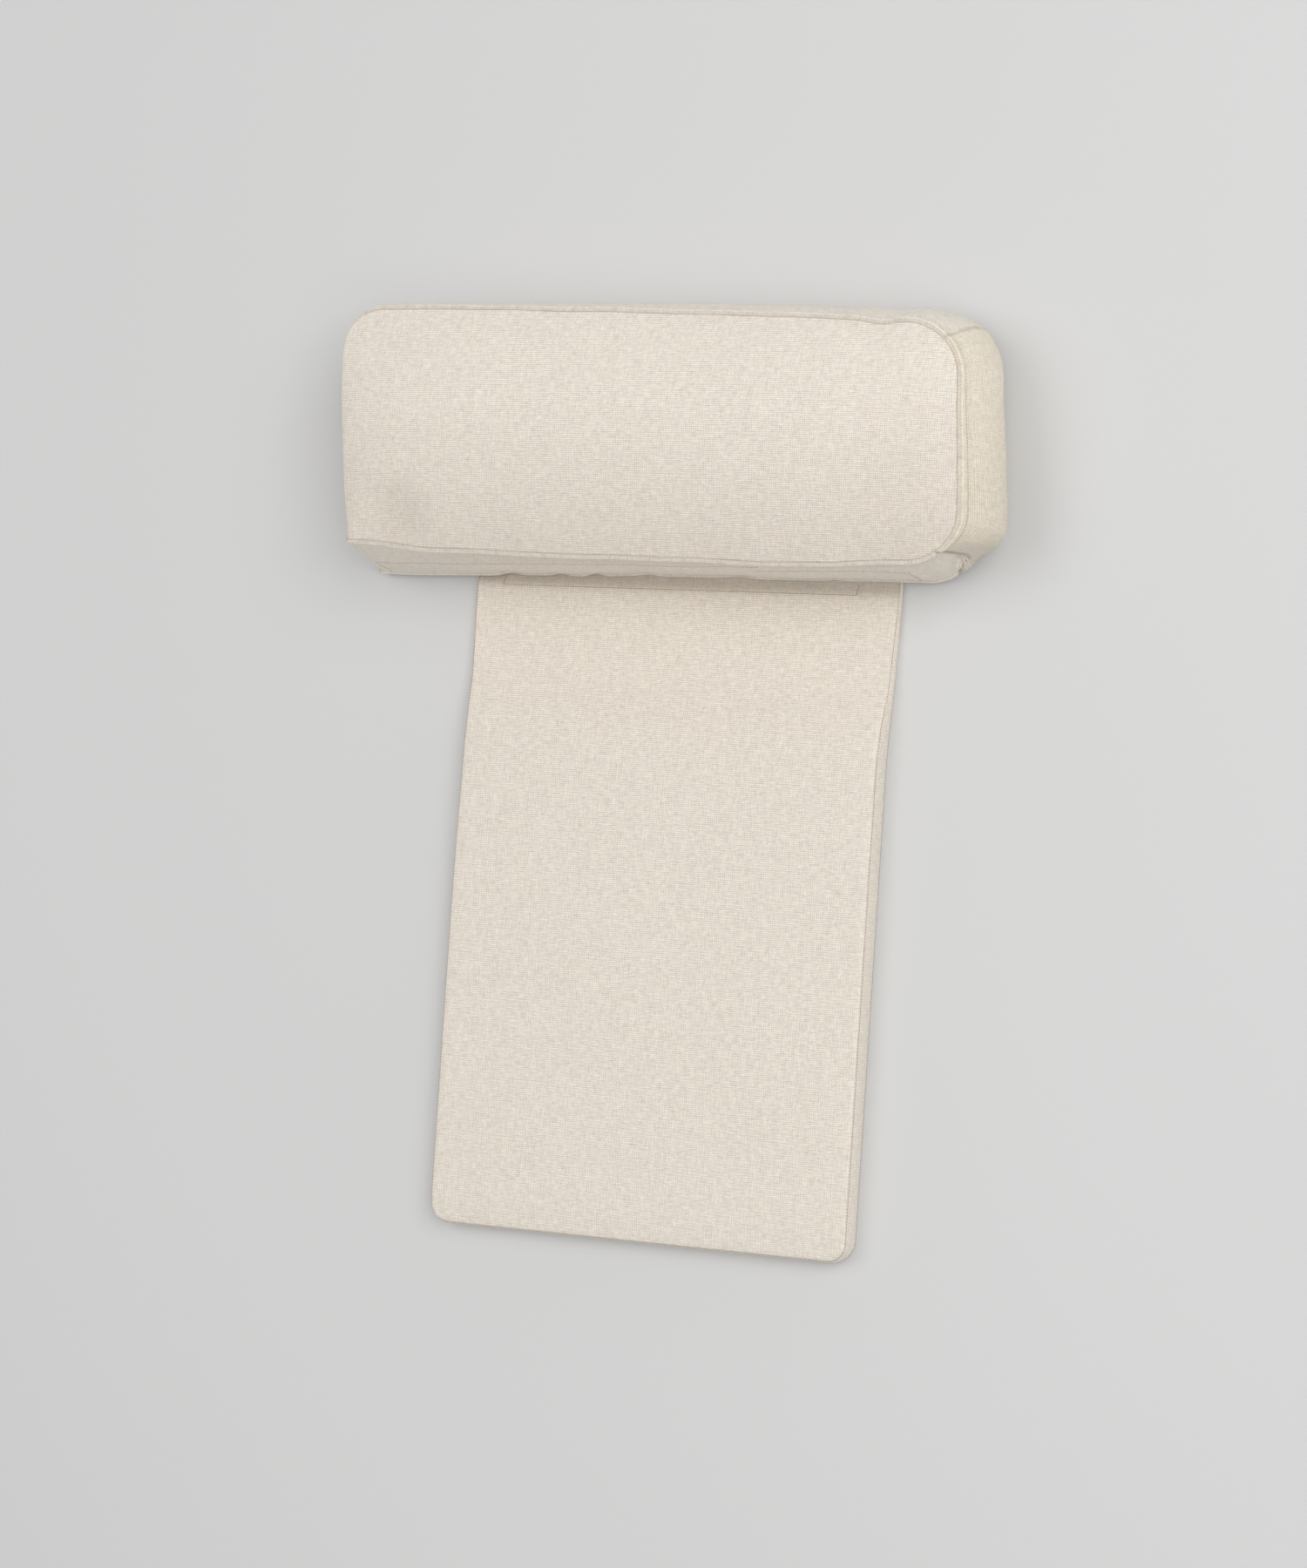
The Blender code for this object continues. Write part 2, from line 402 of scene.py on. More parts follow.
def bump_at(value, middle, reach):
    """A soft hump that is 1 at its middle and dies out at its reach."""
    t = min(1.0, abs(value - middle) / reach)
    return (1.0 - t * t) ** 2


def hump(of, value):
    """A hump given as (height, middle, reach), at a value."""
    height, middle, reach = of
    return height * bump_at(value, middle, reach)


def from_table(table, value):
    """Read a table of (place, amount) pairs, in straight lines between its rows."""
    for below, above in zip(table, table[1:]):
        if value <= above[0]:
            part = max(0.0, (value - below[0]) / (above[0] - below[0]))
            return blend(below[1], above[1], part)
    return table[-1][1]


def fullness(t, power, lean=0.5):
    """A filled panel's profile: steep at its seams and nearly flat in the middle."""
    return max(0.0, 1.0 - abs(t) ** power) ** lean


def panel_outline(u, v, half_x, half_y, radius, rounding, end_share=0.5):
    """Round a square panel's corners, and give the place and the outward direction."""
    a = max(0.0, (abs(u) * half_x - half_x + radius) / radius)
    b = max(0.0, (abs(v) * half_y - half_y + radius) / radius)
    out_x = a * math.sqrt(1.0 - b * b * end_share)
    out_y = b * math.sqrt(1.0 - a * a * (1.0 - end_share))
    x = min(abs(u) * half_x, half_x - radius) + radius * blend(a, out_x, rounding)
    y = min(abs(v) * half_y, half_y - radius) + radius * blend(b, out_y, rounding)
    place = (math.copysign(x / half_x, u), math.copysign(y / half_y, v))
    return place, (math.copysign(out_x, u), math.copysign(out_y, v))


def panel_point(corners, u, v):
    """The place on a panel that is u across and v up it."""
    low_left, low_right, high_right, high_left = corners
    side, rise = (u + 1.0) / 2.0, (v + 1.0) / 2.0
    low = [blend(left, right, side) for left, right in zip(low_left, low_right)]
    high = [blend(left, right, side) for left, right in zip(high_left, high_right)]
    return blend(low[0], high[0], rise), blend(low[1], high[1], rise)


def corner_of(u, v):
    """The name of the corner that a place is nearest to."""
    return ("high " if v > 0.0 else "low ") + ("right" if u > 0.0 else "left")


def cushion_outline(u, v):
    """The place on the cushion's rounded outline, and which way the edge faces there."""
    corner = corner_of(u, v)
    return panel_outline(
        u, v, HALF_WIDTH, HALF_HEIGHT, CORNER_RADIUS, CORNER_ROUNDING[corner], CORNERS[corner][3]
    )


def corner_shares(u, v, outward):
    """The shares of the end's and of the strip's bulge at a place on the outline."""
    end_left, strip_left, quickness, end_part = CORNERS[corner_of(u, v)]
    facing = math.atan2(abs(outward[1]), abs(outward[0]))
    corner = math.atan2(math.sqrt(end_part), math.sqrt(1.0 - end_part))
    if facing < corner:
        beside = (facing / corner) ** quickness
        return blend(1.0, end_left, beside), strip_left * beside
    beside = ((math.pi / 2.0 - facing) / (math.pi / 2.0 - corner)) ** quickness
    return end_left * beside, blend(1.0, strip_left, beside)


def cushion_point(u, v, w):
    """Where a point of the box goes on the cushion before it is filled."""
    (pu, pv), outward = cushion_outline(u, v)
    near_x, near_y = panel_point(FRONT_PANEL, pu, pv)
    far_x, far_y = panel_point(BACK_PANEL, pu, pv)
    forward = (w + 1.0) / 2.0
    x, y = blend(far_x, near_x, forward), blend(far_y, near_y, forward)
    z = blend(BACK_SEAM_Z, FRONT_SEAM_Z, forward)
    middle = 1.0 - u * u
    y += (TOP_BOW * middle - hump(TOP_PUCKER, x) * forward) * max(0.0, pv)
    sag = LOW_SAG * middle + hump(LOW_SAG_RIGHT, x)
    low_seams = blend(LOW_BACK_RISE * middle, -sag, forward)
    y += (low_seams + hump(LOW_LIFT_LEFT, x) * forward) * max(0.0, -pv)
    if u < 0.0:
        in_from_end = (1.0 + u) * HALF_WIDTH
        tall = fullness(v, 4.0)
        if w == 1.0:
            swell = ease(0.0, 0.010, in_from_end)
            x += LEFT_DRAWN_IN * tall * (1.0 - ease(0.0, 0.004, in_from_end))
            x -= LEFT_OVERHANG * tall * swell * (1.0 - ease(0.010, 0.060, in_from_end))
        elif u == -1.0:
            x += LEFT_DRAWN_IN * tall * ease(0.5, 1.0, w)
    if w == 1.0:
        across_crown = fullness(u, CROWN_ACROSS, CROWN_LEAN)
        z += CROWN * across_crown * fullness(v, CROWN_HIGH if v > 0.0 else CROWN_LOW, CROWN_LEAN)
    elif w == -1.0:
        from_edge = min((1.0 - abs(u)) * HALF_WIDTH, (1.0 - abs(v)) * HALF_HEIGHT)
        lifted = BACK_SEAM_Z * (1.0 - ease(0.0, BACK_ROUNDING, from_edge))
        z = max(lifted, HOLLOW_HEIGHT * (1.0 - ease(*HOLLOW_EDGE, y)))
    else:
        end = END_BULGE_RIGHT if u > 0.0 else -END_BULGE_LEFT
        strip = TOP_BULGE if v > 0.0 else -BOTTOM_BULGE
        end_share, strip_share = corner_shares(u, v, outward)
        full = 1.0 - w * w
        if u == 1.0:
            x += from_table(END_SLACK_RIGHT, v) * full
        x += end * end_share * full
        y += strip * strip_share * full
        if corner_of(u, v) == "low right":
            along = HALF_HEIGHT * (1.0 + v) + HALF_WIDTH * (1.0 - u)
            deep = full * (1.0 - 0.6 * w)
            reach_x, reach_y = (0.030, 0.026) if u == 1.0 else (0.008, 0.012)
            x += LOW_RIGHT_LIP[0] * deep * (1.0 - ease(0.0, reach_x, along))
            y += LOW_RIGHT_LIP[1] * deep * (1.0 - ease(0.0, reach_y, along))
            if v == -1.0:
                x -= LOW_RIGHT_TUCK * deep * bump_at(along, 0.022, 0.030)
    return Vector((x + JOIN_X, y + JOIN_Y, z))


# How much of its own movement a point keeps each time the creases are evened out.
KEEPS = 0.4
FILLING_STEPS = 20


def fill(piece, sewn, pressure, most, even_out):
    """Blow the cover up from inside, with its sewn points held, no point moving more than most."""
    start = [vertex.co.copy() for vertex in piece.data.vertices]
    make_active(piece)
    pins = piece.vertex_groups.new(name="sewn")
    pins.add(sewn, 1.0, "REPLACE")
    filling = piece.modifiers.new("filling", "CLOTH")
    filling.settings.use_pressure = True
    filling.settings.uniform_pressure_force = pressure
    filling.settings.vertex_group_mass = "sewn"
    filling.settings.effector_weights.gravity = 0.0
    for step in range(1, FILLING_STEPS + 1):
        scene.frame_set(step)
    bpy.ops.object.modifier_apply(modifier="filling")
    scene.frame_set(1)
    piece.vertex_groups.clear()
    moved = []
    for vertex, before in zip(piece.data.vertices, start):
        way = vertex.co - before
        moved.append(way * (most / way.length) if way.length > most else way)
    # The filling is firm, so most of the creases that the blowing-up leaves are evened out.
    beside = [[] for _ in moved]
    for edge in piece.data.edges:
        one, other = edge.vertices
        beside[one].append(other)
        beside[other].append(one)
    still = set(sewn)
    for _ in range(even_out):
        moved = [
            way if index in still
            else way * KEEPS + sum((moved[near] for near in beside[index]), Vector())
            * ((1.0 - KEEPS) / len(beside[index]))
            for index, way in enumerate(moved)
        ]
    for vertex, before, way in zip(piece.data.vertices, start, moved):
        vertex.co = before + way


def box_places(piece):
    """Every point's place on the box, with the same grid line always given the same number."""
    lines = []
    for axis in range(3):
        names = {}
        line = None
        for value in sorted({vertex.co[axis] for vertex in piece.data.vertices}):
            if line is None or value - line > 0.0001:
                line = value
            names[value] = round(line, 5)
        lines.append(names)
    return [tuple(names[c] for names, c in zip(lines, vertex.co)) for vertex in piece.data.vertices]


def walk_outline(points):
    """The places round the box's outline in order, anticlockwise from low left."""
    across_places = sorted({u for u, v, w in points if abs(v) == 1.0})
    up_places = sorted({v for u, v, w in points if abs(u) == 1.0})
    return (
        [(u, -1.0) for u in across_places[:-1]] + [(1.0, v) for v in up_places[:-1]]
        + [(u, 1.0) for u in across_places[:0:-1]] + [(-1.0, v) for v in up_places[:0:-1]]
    )


def lay_grain(piece, points, shaped):
    """Map each panel in metres: across and up on the faces, and along and through on the strips."""
    around = {}
    total = 0.0
    before = None
    middle = min((abs(w), w) for u, v, w in points)[1]
    for place in walk_outline(points):
        here = shaped[(*place, middle)]
        total += (here - before).length if before else 0.0
        around[place] = total
        before = here
    grain = piece.data.uv_layers.active or piece.data.uv_layers.new(name="grain")
    grain.name = "grain"
    for face in piece.data.polygons:
        corners = [points[index] for index in face.vertices]
        for loop, (u, v, w) in zip(face.loop_indices, corners):
            here = piece.data.vertices[piece.data.loops[loop].vertex_index].co
            if all(abs(c[2]) == 1.0 for c in corners):
                spot = (here.x + 1.0, here.y + 1.0)
            else:
                run = around[(u, v)]
                if run == 0.0 and any(around[(c[0], c[1])] > total / 2.0 for c in corners):
                    run = total + 0.005
                spot = (run + 3.0, here.z + 3.0)
            grain.data[loop].uv = spot


def paint_points(piece, name, values):
    """Store one number for each point, for the cloth's shader to read."""
    layer = piece.data.attributes.new(name, "FLOAT", "POINT")
    layer.data.foreach_set("value", values)


cushion = start_box(
    "headrest_cover",
    (
        cuts_along(HALF_WIDTH, STEPS_IN, 0.022),
        cuts_along(HALF_HEIGHT, STEPS_IN, 0.024),
        cuts_along(BOXING_DEPTH / 2.0, FEWER_STEPS_IN, 0.020),
    ),
    levels=2,
)
cushion_places = box_places(cushion)
for vertex, place in zip(cushion.data.vertices, cushion_places):
    vertex.co = cushion_point(*place)

# The seams, the strip beside them and the back that lies on the surface don't give.
HELD_STRIP = 0.009
held = [
    index for index, (u, v, w) in enumerate(cushion_places)
    if w == -1.0
    or (abs(w) < 1.0 and (1.0 - abs(w)) * BOXING_DEPTH / 2.0 < HELD_STRIP)
    or (w == 1.0 and max(abs(u), abs(v)) == 1.0)
]
fill(cushion, held, pressure=4.0, most=0.0055, even_out=10)

# The lapped seam's section down the boxing: the seam's groove, the crest, the topstitched edge.
LAP = (
    (0.0000, -0.0004), (0.0007, 0.0021), (0.0014, 0.0029), (0.0028, 0.0031), (0.0048, 0.0026),
    (0.0060, 0.0008), (0.0075, 0.0011), (0.0110, 0.0000),
)
# Where the low back seam is puckered: (place across, how far it is pulled up, reach).
PUCKERS = (
    (-0.172, 0.0028, 0.016), (-0.121, 0.0026, 0.012), (-0.086, 0.0034, 0.011),
    (-0.033, 0.0016, 0.014), (0.058, 0.0012, 0.022), (0.152, 0.0010, 0.016),
)
# The closing is hidden in the bottom boxing: (place across, height) of the fold's sewn line.
PLACKET = (
    (-0.297, 0.050), (-0.250, 0.062), (-0.200, 0.068), (-0.150, 0.073), (-0.090, 0.084),
    (-0.030, 0.083), (0.045, 0.084), (0.108, 0.092),
)
PLACKET_START = ((-0.297, 0.046), (-0.296, 0.030), (-0.295, 0.012))
PLACKET_END = (
    (0.098, 0.073), (0.155, 0.085), (0.194, 0.084), (0.243, 0.072), (0.242, 0.050), (0.235, 0.016),
)
# Dents and low swells of the front: (place, reach, how far it sinks).
DENTS = (
    ((-0.236, 0.222), 0.048, 0.0046), ((-0.262, 0.262), 0.040, -0.0016),
    ((-0.150, 0.214), 0.045, 0.0016), ((0.215, 0.385), 0.040, 0.0012),
)
# Painted shade, how much darker the cloth is made where shade falls: in its seam lines, in the
# gaps where the corner seams part, low down on the front and at the right end, where less light
# reaches, in a patch by a dent, and in front of the fold.
SEAM_LINE = (0.0006, 0.45)
CORNER_LINE = 0.0012
PARTED = {"low right": 0.85, "low left": 0.80, "high right": 0.45, "high left": 0.45}
PAINTED_SHADE_LOW = 0.15
PAINTED_SHADE_END = 0.06
PAINTED_DENT_SHADE = (-0.236, 0.226, 0.040, 0.09)
PAINTED_SHADE_BEFORE_FOLD = 0.09
# The seams run a little unsteadily, and the front isn't quite even.
UNSTEADY = 0.0011
UNEVEN = 0.0012
STEADY_FROM = 0.030
END_WARMTH = 0.9

cushion_painted_shade = []
end_warmth = []
moved_places = {}
for vertex, (u, v, w) in zip(cushion.data.vertices, cushion_places):
    out = Vector((*cushion_outline(u, v)[1], 0.0))
    here = vertex.co.copy()
    shade = 0.0
    on_edge = max(abs(u), abs(v)) == 1.0
    from_edge = min((1.0 - abs(u)) * HALF_WIDTH, (1.0 - abs(v)) * HALF_HEIGHT)
    inside = ease(0.0, STEADY_FROM, from_edge)
    wander = here * 17.0
    unsteady = Vector((noise.noise(wander), noise.noise(wander + Vector((9.0, 4.0, 2.0))), 0.0))
    vertex.co += unsteady * (UNSTEADY * (1.0 - inside))
    if on_edge:
        depth_front = (1.0 - w) * BOXING_DEPTH / 2.0
        depth_back = (1.0 + w) * BOXING_DEPTH / 2.0
        lapped = from_table(LAP, depth_front) + 0.8 * from_table(LAP, depth_back)
        along = HALF_HEIGHT * (1.0 - abs(v)) if abs(u) == 1.0 else HALF_WIDTH * (1.0 - abs(u))
        corner = math.exp(-((along * 0.78 / CORNER_LINE) ** 2))
        vertex.co += out * (lapped * (1.0 - 0.4 * corner) - 0.0010 * corner)
        # Painted shade: the seam's groove is darkened, and so is the gap where a corner seam parts.
        for depth in (depth_front, depth_back):
            shade = max(shade, math.exp(-((depth / SEAM_LINE[0]) ** 2)) * SEAM_LINE[1])
        parted = corner * PARTED[corner_of(u, v)]
        shade = max(shade, parted * (0.75 + 0.5 * noise.noise(here * 160.0)))
        if v == -1.0:
            low = 1.0 - ease(0.004, 0.030, depth_back)
            for middle, lift, reach in PUCKERS:
                vertex.co.y += lift * bump_at(here.x, middle, reach) * low
    elif w == 1.0:
        vertex.co.z += UNEVEN * noise.noise(here * 12.0) * inside
        for middle, reach, sink in DENTS:
            away = math.hypot(here.x - middle[0], (here.y - middle[1]) * 1.5) / reach
            if away < 1.0:
                vertex.co.z -= sink * (1.0 - away * away) ** 2
    if w == 1.0 or (u == 1.0 and w > -1.0):
        # Painted shade on the front and the right end: darker low down and towards the right end, and
        # in a patch by the dent where its side turns from the light.
        patch_x, patch_y, reach, dent_shade = PAINTED_DENT_SHADE
        away = math.hypot(here.x - patch_x, (here.y - patch_y) * 0.8)
        painted_face_shade = PAINTED_SHADE_LOW * min(1.0, max(0.0, (0.2 - v) / 1.1))
        painted_face_shade += PAINTED_SHADE_END * (1.0 - ease(0.1, 0.6, v)) * ease(0.6, 0.9, u)
        painted_face_shade += dent_shade * bump_at(away, 0.0, reach)
        shade = max(shade, painted_face_shade)
    elif v == -1.0 and w > -1.0:
        # Painted shade: the bottom boxing between the front seam and the fold is darker, fading out
        # towards the left end.
        shaded = PAINTED_SHADE_BEFORE_FOLD * ease(-0.29, -0.10, here.x)
        shade = max(shade, shaded * ease(0.0, 0.006, here.z - from_table(PLACKET, here.x)))
    cushion_painted_shade.append(shade)
    end_warmth.append(ease(0.55, 0.80, abs(out.x)) * (END_WARMTH if w < 1.0 else 0.0))
    moved_places[(u, v, w)] = vertex.co.copy()

lay_grain(cushion, cushion_places, moved_places)
# All of this painted shade goes to the cloth as its "seam" attribute.
paint_points(cushion, "seam", cushion_painted_shade)
paint_points(cushion, "warmth", end_warmth)


def finish_cloth(piece):
    """Round the cover off, shade it smooth and give it its cloth."""
    rounded = piece.modifiers.new("rounded", "SUBSURF")
    rounded.levels = rounded.render_levels = 1
    make_active(piece)
    bpy.ops.object.modifier_apply(modifier="rounded")
    bpy.ops.object.shade_smooth()
    piece.data.materials.clear()
    piece.data.materials.append(linen_cloth)
    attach(piece, "root")


finish_cloth(cushion)
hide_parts("headrest_cushion")

# ---------------------------------------------------------------------------------------
# Insert flap. A flat cover with a gusset round it, padded by a board in its lower part and
# only cloth above, sewn across to the cushion's back. It tucks in behind the sofa cushion.
# ---------------------------------------------------------------------------------------
FLAP_LEFT = -0.2010
FLAP_RIGHT = 0.2115
FLAP_FOOT = -0.5975
FLAP_TOP = 0.052
FLAP_CORNER = 0.018
# Up the flap: (place, thickness, how far the left edge and the right edge stand out).
FLAP_SECTIONS = (
    (-0.5975, 0.025, 0.0, 0.0),
    (-0.575, 0.028, 0.0, 0.0),
    (-0.300, 0.028, 0.0, 0.0),
    (-0.150, 0.028, -0.0022, 0.0),
    (-0.122, 0.025, -0.0022, 0.001),
    (-0.085, 0.015, -0.0005, 0.003),
    (-0.060, 0.012, 0.001, 0.0035),
    (-0.010, 0.0091, 0.003, 0.005),
    (0.052, 0.0091, 0.003, 0.005),
)
FLAP_HALF_X = (FLAP_RIGHT - FLAP_LEFT) / 2.0
FLAP_HALF_Y = (FLAP_TOP - FLAP_FOOT) / 2.0
# The board ends between these places, and its edge shows as a rounded shoulder.
BOARD_END = (-0.150, -0.060)
SHOULDER = 0.0022
SHOULDER_WIDTH = 0.007
PADDING = 0.0015
WAVES = 0.0007
GUSSET_BULGE = 0.0018
# The cloth dips where it is sewn across and passes under the cushion's edge.
SEWN_DIP = (0.0042, 0.0110, 0.0105)
# Painted shade: how much darker the cloth is made in the shadow under the cushion's edge and in
# the gusset's seams.
PAINTED_SHADOW_DEEP = 0.17
PAINTED_SHADOW_NEAR = 0.08
GUSSET_LINE = (0.0006, 0.20)
GUSSET_DEPTH = 0.014
GUSSET_WARMTH = 0.15


def flap_point(u, v, w):
    """Where a point of the box goes on the flap."""
    (pu, pv), outward = panel_outline(u, v, FLAP_HALF_X, FLAP_HALF_Y, FLAP_CORNER, 1.0)
    x = (FLAP_LEFT + FLAP_RIGHT) / 2.0 + FLAP_HALF_X * pu
    y = (FLAP_FOOT + FLAP_TOP) / 2.0 + FLAP_HALF_Y * pv
    thickness = from_table([(row[0], row[1]) for row in FLAP_SECTIONS], y)
    wider = from_table([(row[0], row[3 if pu > 0.0 else 2]) for row in FLAP_SECTIONS], y)
    x += pu * wider
    z = thickness * (w + 1.0) / 2.0
    board = 1.0 - ease(*BOARD_END, y)
    inward = min((1.0 - abs(u)) * FLAP_HALF_X, (1.0 - abs(v)) * FLAP_HALF_Y)
    to_edge = 1.0 - min(1.0, inward / SHOULDER_WIDTH)
    shoulder = SHOULDER * board * (1.0 - math.sqrt(1.0 - to_edge ** 2))
    if w == 1.0:
        z += PADDING * fullness(u, 4.0) * fullness(v, 4.0) * board - shoulder
        z += WAVES * board * noise.noise(Vector((x * 9.0, y * 9.0, 4.0)))
        z -= hump(SEWN_DIP, y)
    elif w > -1.0:
        bulge = GUSSET_BULGE * (1.0 - w * w)
        x += outward[0] * bulge
        y += outward[1] * bulge
        z -= SHOULDER * board * max(0.0, w)
    return Vector((x + JOIN_X, y + JOIN_Y, z))


flap = start_box(
    "insert_flap_cover",
    (
        cuts_along(FLAP_HALF_X, FEWER_STEPS_IN, 0.024),
        cuts_along(FLAP_HALF_Y, FEWER_STEPS_IN, 0.026) + [
            round((near + (FLAP_HALF_Y - FLAP_TOP)) / FLAP_HALF_Y, 5)
            for near in (-0.0045, 0.0, 0.0045)
        ],
        (-0.6, 0.6),
    ),
    levels=2,
)
flap_places = box_places(flap)
flap_painted_shade = []
flap_warmth = []
flap_spots = {}
for vertex, (u, v, w) in zip(flap.data.vertices, flap_places):
    vertex.co = flap_point(u, v, w)
    flap_spots[(u, v, w)] = vertex.co.copy()
    from_seam = 1.0
    if max(abs(u), abs(v)) == 1.0:
        from_seam = (1.0 - abs(w)) * GUSSET_DEPTH
    if abs(w) == 1.0:
        from_seam = min(from_seam, (1.0 - abs(u)) * FLAP_HALF_X, (1.0 - abs(v)) * FLAP_HALF_Y)
    painted_shadow = 0.0
    # Painted shadow on the flap's face under the cushion's edge and just below the box stitch.
    if w == 1.0:
        above_join = vertex.co.y - JOIN_Y
        painted_shadow = PAINTED_SHADOW_DEEP * ease(-0.005, 0.001, above_join)
        painted_shadow += PAINTED_SHADOW_NEAR * ease(-0.014, 0.0, above_join)
    # Painted shade along the gusset's seam grooves.
    seam_line = math.exp(-((from_seam / GUSSET_LINE[0]) ** 2)) * GUSSET_LINE[1]
    flap_painted_shade.append(max(painted_shadow, seam_line))
    flap_warmth.append(GUSSET_WARMTH if abs(w) < 1.0 else 0.0)
lay_grain(flap, flap_places, flap_spots)
paint_points(flap, "seam", flap_painted_shade)
paint_points(flap, "warmth", flap_warmth)
finish_cloth(flap)
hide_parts("insert_flap")

# ---------------------------------------------------------------------------------------
# Stitches. Brownish thread, about nine to the inch: along both cushion seams, the flap's
# gusset and the placket's fold, and in the box that joins the flap to the cushion.
# ---------------------------------------------------------------------------------------
STITCH_PITCH = 0.0028
STITCH_LENGTH = 0.0021
STITCH_THICKNESS = 0.00052
GUSSET_THREAD = 0.0007
BOX_THREAD = 0.0009
PLACKET_THREAD = 0.0008
THREAD_DARK = (0.300, 0.225, 0.160, 1.0)
THREAD_LIGHT = (0.470, 0.380, 0.295, 1.0)
# How far down the boxing the lap is topstitched, and where the placket's stitches are laid from.
TOPSTITCH_DEPTH = 0.0064
PLACKET_Y = 0.1845
BOX_SEAM = ((-0.1815, 0.192), (-0.1815, 0.1704), (0.1720, 0.1704), (0.1720, 0.192))
BOX_SEAM_Z = 0.0095

thread = Finish("sewing_thread")
thread_spot = thread.node("ShaderNodeTexCoord", output=3)
ply = thread.node("ShaderNodeTexNoise", sockets={"Vector": thread_spot, "Scale": 900.0, "Detail": 1.0})
thread_colour = thread.node(
    "ShaderNodeMix", {"data_type": "RGBA"},
    {0: ply, 6: THREAD_DARK, 7: THREAD_LIGHT}, output=2,
)
thread.set(thread.surface.inputs["Base Color"], thread_colour)
thread.surface.inputs["Roughness"].default_value = 0.75
thread.surface.inputs["Specular IOR Level"].default_value = 0.2


def one_stitch(thickness):
    """A single stitch lying along X: a short thread that is thin where it enters the cloth."""
    bpy.ops.object.select_all(action="DESELECT")
    bpy.ops.mesh.primitive_uv_sphere_add(segments=6, ring_count=4, radius=0.5)
    stitch = bpy.context.object
    bpy.ops.transform.rotate(value=math.pi / 2.0, orient_axis="Y", center_override=(0.0, 0.0, 0.0))
    bpy.ops.transform.resize(value=(STITCH_LENGTH, thickness, thickness))
    bpy.ops.object.transform_apply(location=True, rotation=True, scale=True)
    return stitch


def piece_of_copies(name, points, faces, finish):
    """One visible piece made of the many copies of a small shape."""
    data = bpy.data.meshes.new(name)
    data.from_pydata(points, [], faces)
    data.materials.append(finish.material)
    piece = bpy.data.objects.new(name, data)
    scene.collection.objects.link(piece)
    return piece


def sew(name, cloth_piece, paths, lift=0.0001, thickness=STITCH_THICKNESS):
    """Copy the stitch along each path, laid on the cloth that it goes through."""
    model = one_stitch(thickness)
    shape = [vertex.co.copy() for vertex in model.data.vertices]
    faces = [tuple(face.vertices) for face in model.data.polygons]
    bpy.data.objects.remove(model, do_unlink=True)
    cloth_surface = BVHTree.FromObject(cloth_piece, bpy.context.evaluated_depsgraph_get())
    points, polygons = [], []
    for path in paths:
        left_over = STITCH_PITCH / 2.0
        for start, end in zip(path, path[1:]):
            length = (end - start).length
            at = left_over
            while at < length:
                spot, normal, _, _ = cloth_surface.find_nearest(start.lerp(end, at / length))
                run = (end - start).normalized()
                side = normal.cross(run).normalized()
                base = len(points)
                points += [spot + normal * (lift + co.z) + run * co.x + side * co.y for co in shape]
                polygons += [tuple(base + index for index in face) for face in faces]
                at += STITCH_PITCH
            left_over = at - length
    row = piece_of_copies(name, points, polygons, thread)
    for face in row.data.polygons:
        face.use_smooth = True
    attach(row, "root")


def seam_path(places_list, spots, want_w):
    """A closed path round the box's outline at one depth."""
    depths = sorted({w for u, v, w in places_list})
    w = min(depths, key=lambda value: abs(value - want_w))
    loop = [spots[(u, v, w)] for u, v in walk_outline(places_list)]
    return loop + loop[:1]


topstitched = TOPSTITCH_DEPTH / (BOXING_DEPTH / 2.0)
sew("front_seam_stitches", cushion, [
    seam_path(cushion_places, moved_places, 1.0),
    seam_path(cushion_places, moved_places, 1.0 - topstitched),
], lift=0.0)
sew("back_seam_stitches", cushion, [
    seam_path(cushion_places, moved_places, -1.0 + topstitched),
], lift=0.0)
sew("gusset_stitches", flap, [
    seam_path(flap_places, flap_spots, 1.0),
    seam_path(flap_places, flap_spots, -1.0),
], thickness=GUSSET_THREAD)
sew("box_stitches", flap, [
    [Vector((x, y, BOX_SEAM_Z)) for x, y in BOX_SEAM],
], thickness=BOX_THREAD)
sew("placket_stitches", cushion, [
    [Vector((x, PLACKET_Y, z)) for x, z in line] for line in (PLACKET, PLACKET_END, PLACKET_START)
], lift=0.0, thickness=PLACKET_THREAD)

# ---------------------------------------------------------------------------------------
# Frayed corner. Where the end boxing meets the bottom boxing at the low right corner the
# cut edge shows as a small tuft of loose pale yarns.
# ---------------------------------------------------------------------------------------
YARN_COUNT = 34
YARN_RADIUS = 0.00024
YARN_LENGTHS = (0.006, 0.013)
YARN_CURL = 0.0036
TUFT_SPAN = (-0.15, 0.30)
LOOSE_DARK = (0.62, 0.54, 0.45, 1.0)
LOOSE_LIGHT = (0.92, 0.89, 0.85, 1.0)

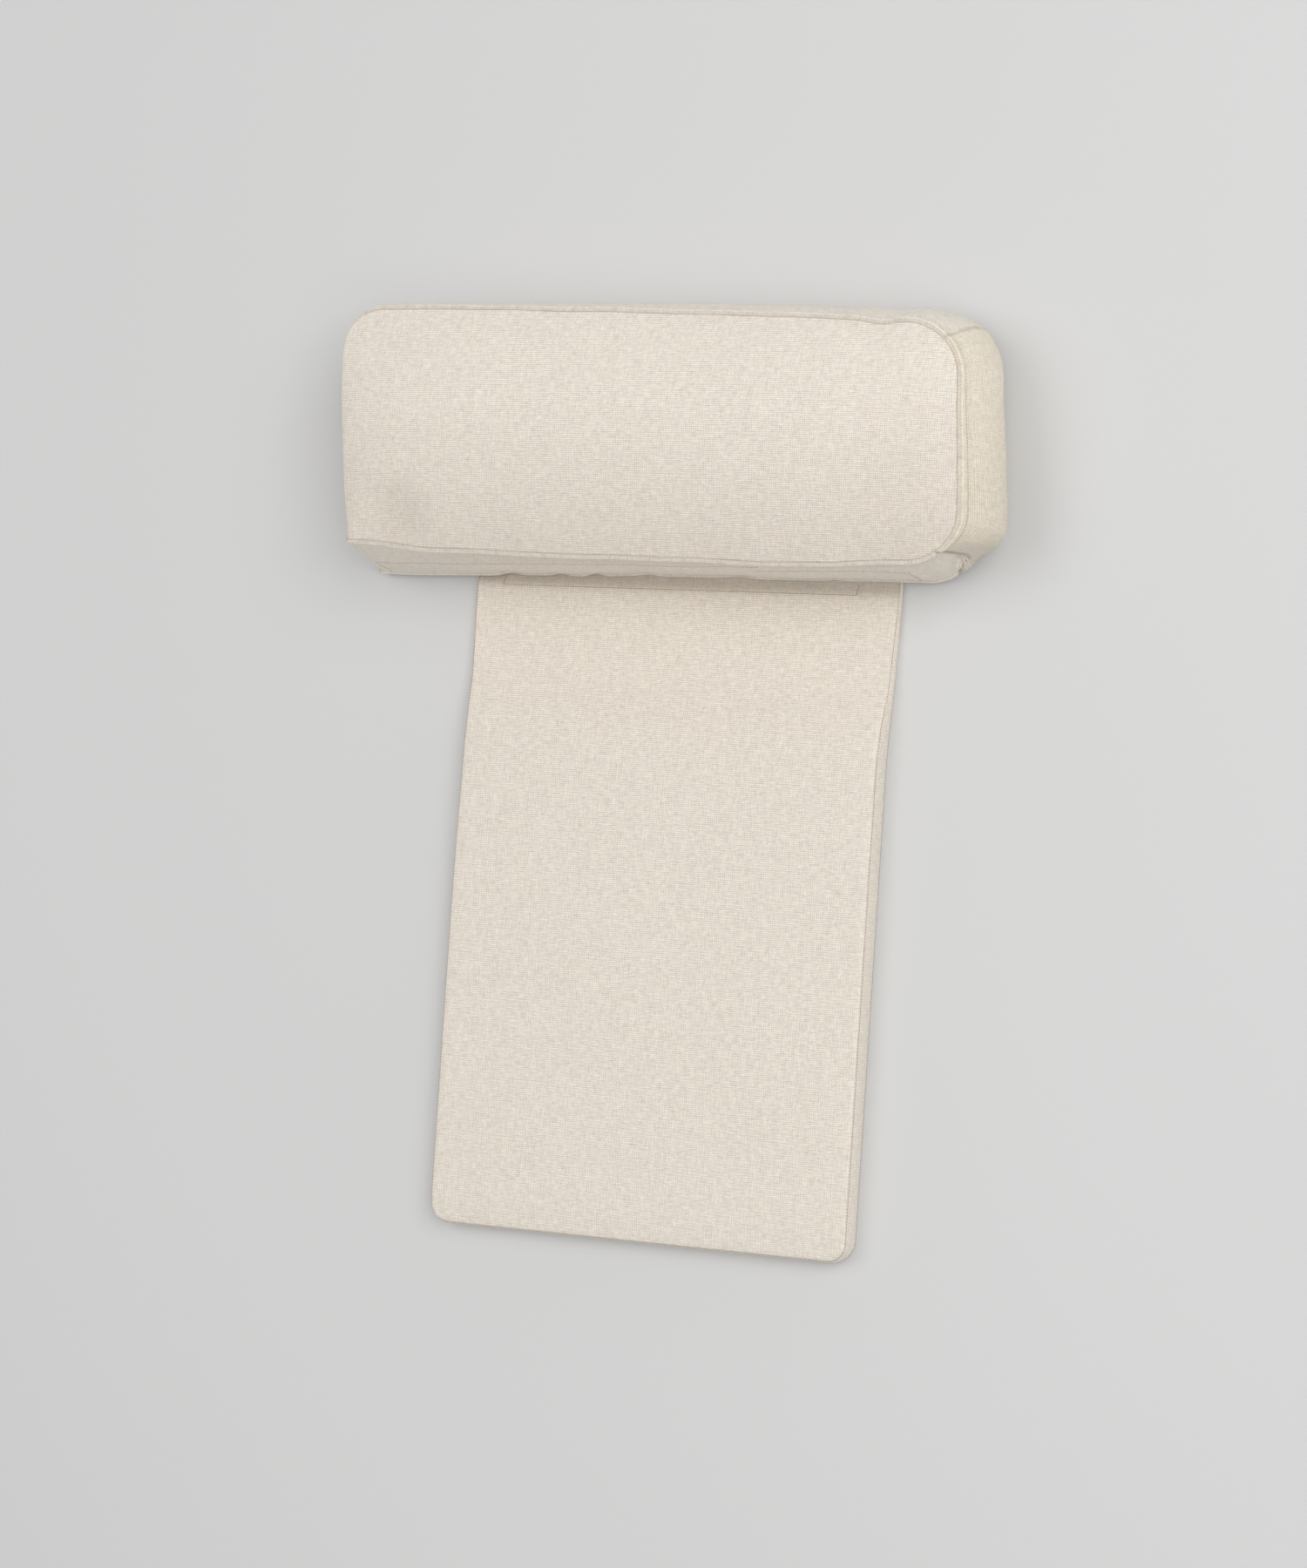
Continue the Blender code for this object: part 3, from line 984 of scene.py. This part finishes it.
loose = Finish("loose_yarn")
loose_spot = loose.node("ShaderNodeTexCoord", output=3)
fuzz = loose.node("ShaderNodeTexNoise", sockets={"Vector": loose_spot, "Scale": 700.0, "Detail": 2.0})
loose_colour = loose.node(
    "ShaderNodeMix", {"data_type": "RGBA"},
    {0: fuzz, 6: LOOSE_DARK, 7: LOOSE_LIGHT}, output=2,
)
loose.set(loose.surface.inputs["Base Color"], loose_colour)
loose.surface.inputs["Roughness"].default_value = 0.95
loose.surface.inputs["Specular IOR Level"].default_value = 0.1

bpy.ops.object.select_all(action="DESELECT")
bpy.ops.mesh.primitive_cylinder_add(vertices=6, radius=YARN_RADIUS, depth=1.0, location=(0.0, 0.0, 0.5))
yarn = bpy.context.object
bpy.ops.object.transform_apply(location=True)
bpy.ops.object.mode_set(mode="EDIT")
for height in (0.15, 0.3, 0.45, 0.6, 0.75, 0.9):
    bpy.ops.mesh.select_all(action="SELECT")
    bpy.ops.mesh.bisect(plane_co=(0.0, 0.0, height), plane_no=(0.0, 0.0, 1.0))
bpy.ops.object.mode_set(mode="OBJECT")
yarn_shape = [vertex.co.copy() for vertex in yarn.data.vertices]
yarn_faces = [tuple(face.vertices) for face in yarn.data.polygons]
bpy.data.objects.remove(yarn, do_unlink=True)

pick = random.Random(11)
tuft_points, tuft_faces = [], []
through = sorted({w for _, _, w in cushion_places if TUFT_SPAN[0] < w < TUFT_SPAN[1]})
corner_seam = [moved_places[(1.0, -1.0, w)] for w in through]
for _ in range(YARN_COUNT):
    root = pick.choice(corner_seam) + Vector(
        (pick.uniform(-0.001, 0.001), pick.uniform(-0.0005, 0.0015), pick.uniform(-0.001, 0.001))
    )
    way = Vector((pick.uniform(-0.1, 0.7), pick.uniform(-1.0, -0.4), pick.uniform(-0.2, 0.6)))
    way.normalize()
    curl = Vector((pick.uniform(-1, 1), pick.uniform(-1, 1), pick.uniform(-1, 1))) * YARN_CURL
    length = pick.uniform(*YARN_LENGTHS)
    base = len(tuft_points)
    for co in yarn_shape:
        t = co.z
        tuft_points.append(root + way * (length * t) + curl * (t * t) + Vector((co.x, co.y, 0.0)))
    tuft_faces += [tuple(base + index for index in face) for face in yarn_faces]
tuft = piece_of_copies("corner_tuft", tuft_points, tuft_faces, loose)
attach(tuft, "root")
